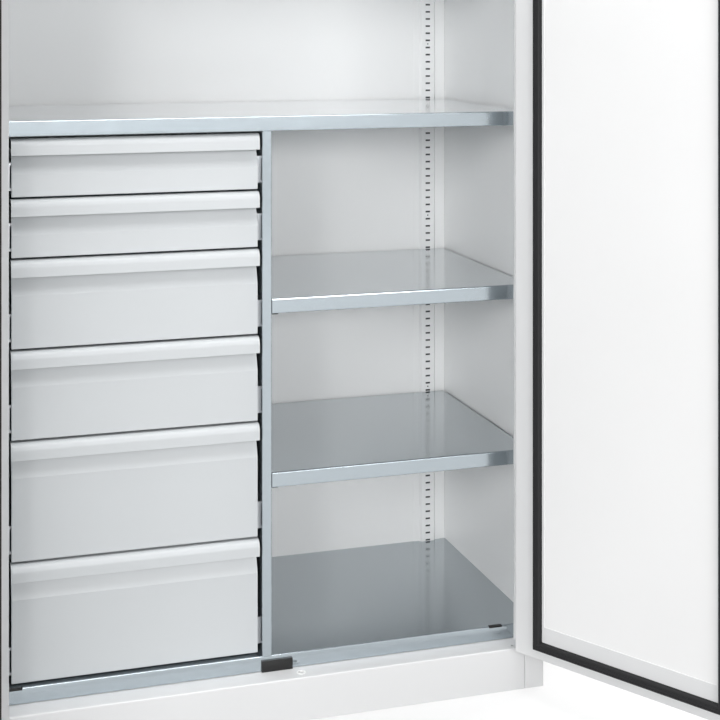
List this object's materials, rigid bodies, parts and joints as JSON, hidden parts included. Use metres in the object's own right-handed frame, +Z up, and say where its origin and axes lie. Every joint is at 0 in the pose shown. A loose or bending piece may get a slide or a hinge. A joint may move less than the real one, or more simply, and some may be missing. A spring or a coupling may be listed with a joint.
{
  "type": "storage cabinet",
  "caption": "Steel storage cabinet with sealed double doors, stacked drawers beside adjustable shelves, and a turning handle that drives locking rods.",
  "frame": {"origin": "centre of the floor anchor pattern, on the floor", "axes": "+X to the right seen from the doors, +Y to the back, +Z up"},
  "size_m": [1.4141, 0.9297, 1.95],
  "materials": {
    "painted_steel": "fine light grey powder coat",
    "galvanised": "smooth galvanised sheet",
    "bare_steel": "zinc plated",
    "inner_panel": "white, satin",
    "seal": "matt black",
    "black_plastic": "satin black"
  },
  "bodies": {
    "cabinet": {"side_wall_left": "painted_steel", "side_wall_right": "painted_steel", "back_wall": "painted_steel", "roof_panel": "painted_steel", "plinth_front": "painted_steel", "base_frame": "bare_steel", "levelling_screws": "bare_steel", "floor_plate": "galvanised", "partition": "galvanised", "slot_rails_front": "painted_steel", "slot_rails_rear": "painted_steel", "runner_uprights": "galvanised", "shelf_top": "galvanised", "shelf_upper": "galvanised", "shelf_middle": "galvanised", "shelf_right_upper": "galvanised", "shelf_right_lower": "galvanised", "shelf_clips": "black_plastic", "centre_stops": "black_plastic", "post_hinge_leaves": "bare_steel", "hinge_pins": "bare_steel", "runner_cabinet_members": "bare_steel"},
    "door_right": {"door_right_skin": "painted_steel", "door_right_panel": "inner_panel", "door_right_seal": "seal", "door_right_hinge_leaves": "bare_steel", "lock_plate": "bare_steel", "handle_rose": "black_plastic", "rod_guides": "black_plastic"},
    "door_left": {"door_left_skin": "painted_steel", "door_left_panel": "inner_panel", "door_left_seal": "seal", "door_left_hinge_leaves": "bare_steel", "meeting_strip": "painted_steel"},
    "handle": {"handle_lever": "black_plastic", "handle_cam": "bare_steel"},
    "cylinder": {"lock_cylinder": "bare_steel", "key": "bare_steel"},
    "rod_up": {"rod_upper": "bare_steel"},
    "rod_down": {"rod_lower": "bare_steel"},
    "drawer_1": {"drawer_1_front": "painted_steel", "drawer_1_tray": "galvanised"},
    "runner_1": {"drawer_1_runner": "bare_steel"},
    "drawer_2": {"drawer_2_front": "painted_steel", "drawer_2_tray": "galvanised"},
    "runner_2": {"drawer_2_runner": "bare_steel"},
    "drawer_3": {"drawer_3_front": "painted_steel", "drawer_3_tray": "galvanised"},
    "runner_3": {"drawer_3_runner": "bare_steel"},
    "drawer_4": {"drawer_4_front": "painted_steel", "drawer_4_tray": "galvanised"},
    "runner_4": {"drawer_4_runner": "bare_steel"},
    "drawer_5": {"drawer_5_front": "painted_steel", "drawer_5_tray": "galvanised"},
    "runner_5": {"drawer_5_runner": "bare_steel"},
    "drawer_6": {"drawer_6_front": "painted_steel", "drawer_6_tray": "galvanised"},
    "runner_6": {"drawer_6_runner": "bare_steel"}
  },
  "joints": [
    {"name": "door_right_hinge", "type": "hinge", "parent": "cabinet", "child": "door_right", "pos_m": [0.4635, -0.25, 1], "axis": [0, 0, 1], "range_deg": [-120, 50]},
    {"name": "door_left_hinge", "type": "hinge", "parent": "cabinet", "child": "door_left", "pos_m": [-0.4635, -0.25, 1], "axis": [0, 0, -1], "range_deg": [-120, 50]},
    {"name": "handle_turn", "type": "hinge", "parent": "door_right", "child": "handle", "pos_m": [0.66775, -0.60377, 1.05], "axis": [-0.866, -0.5, 0], "range_deg": [0, 90]},
    {"name": "cylinder_turn", "type": "hinge", "parent": "handle", "child": "cylinder", "pos_m": [0.66775, -0.60377, 1.05], "axis": [-0.866, -0.5, 0], "range_deg": [0, 90]},
    {"name": "rod_up_slide", "type": "slide", "parent": "door_right", "child": "rod_up", "axis": [0, 0, 1], "range_m": [0, 0.014]},
    {"name": "rod_down_slide", "type": "slide", "parent": "door_right", "child": "rod_down", "axis": [0, 0, -1], "range_m": [0, 0.014]},
    {"name": "drawer_1_slide", "type": "slide", "parent": "cabinet", "child": "drawer_1", "axis": [0, -1, 0], "range_m": [0, 0.38]},
    {"name": "runner_1_slide", "type": "slide", "parent": "cabinet", "child": "runner_1", "axis": [0, -1, 0], "range_m": [0, 0.19]},
    {"name": "drawer_2_slide", "type": "slide", "parent": "cabinet", "child": "drawer_2", "axis": [0, -1, 0], "range_m": [0, 0.38]},
    {"name": "runner_2_slide", "type": "slide", "parent": "cabinet", "child": "runner_2", "axis": [0, -1, 0], "range_m": [0, 0.19]},
    {"name": "drawer_3_slide", "type": "slide", "parent": "cabinet", "child": "drawer_3", "axis": [0, -1, 0], "range_m": [0, 0.38]},
    {"name": "runner_3_slide", "type": "slide", "parent": "cabinet", "child": "runner_3", "axis": [0, -1, 0], "range_m": [0, 0.19]},
    {"name": "drawer_4_slide", "type": "slide", "parent": "cabinet", "child": "drawer_4", "axis": [0, -1, 0], "range_m": [0, 0.38]},
    {"name": "runner_4_slide", "type": "slide", "parent": "cabinet", "child": "runner_4", "axis": [0, -1, 0], "range_m": [0, 0.19]},
    {"name": "drawer_5_slide", "type": "slide", "parent": "cabinet", "child": "drawer_5", "axis": [0, -1, 0], "range_m": [0, 0.38]},
    {"name": "runner_5_slide", "type": "slide", "parent": "cabinet", "child": "runner_5", "axis": [0, -1, 0], "range_m": [0, 0.19]},
    {"name": "drawer_6_slide", "type": "slide", "parent": "cabinet", "child": "drawer_6", "axis": [0, -1, 0], "range_m": [0, 0.38]},
    {"name": "runner_6_slide", "type": "slide", "parent": "cabinet", "child": "runner_6", "axis": [0, -1, 0], "range_m": [0, 0.19]}
  ],
  "couplings": [
    {"joint": "rod_up_slide", "follows": "handle_turn", "m_per_rad": 0.0089127},
    {"joint": "rod_down_slide", "follows": "handle_turn", "m_per_rad": 0.0089127},
    {"joint": "runner_1_slide", "follows": "drawer_1_slide", "ratio": 0.5},
    {"joint": "runner_2_slide", "follows": "drawer_2_slide", "ratio": 0.5},
    {"joint": "runner_3_slide", "follows": "drawer_3_slide", "ratio": 0.5},
    {"joint": "runner_4_slide", "follows": "drawer_4_slide", "ratio": 0.5},
    {"joint": "runner_5_slide", "follows": "drawer_5_slide", "ratio": 0.5},
    {"joint": "runner_6_slide", "follows": "drawer_6_slide", "ratio": 0.5}
  ]
}
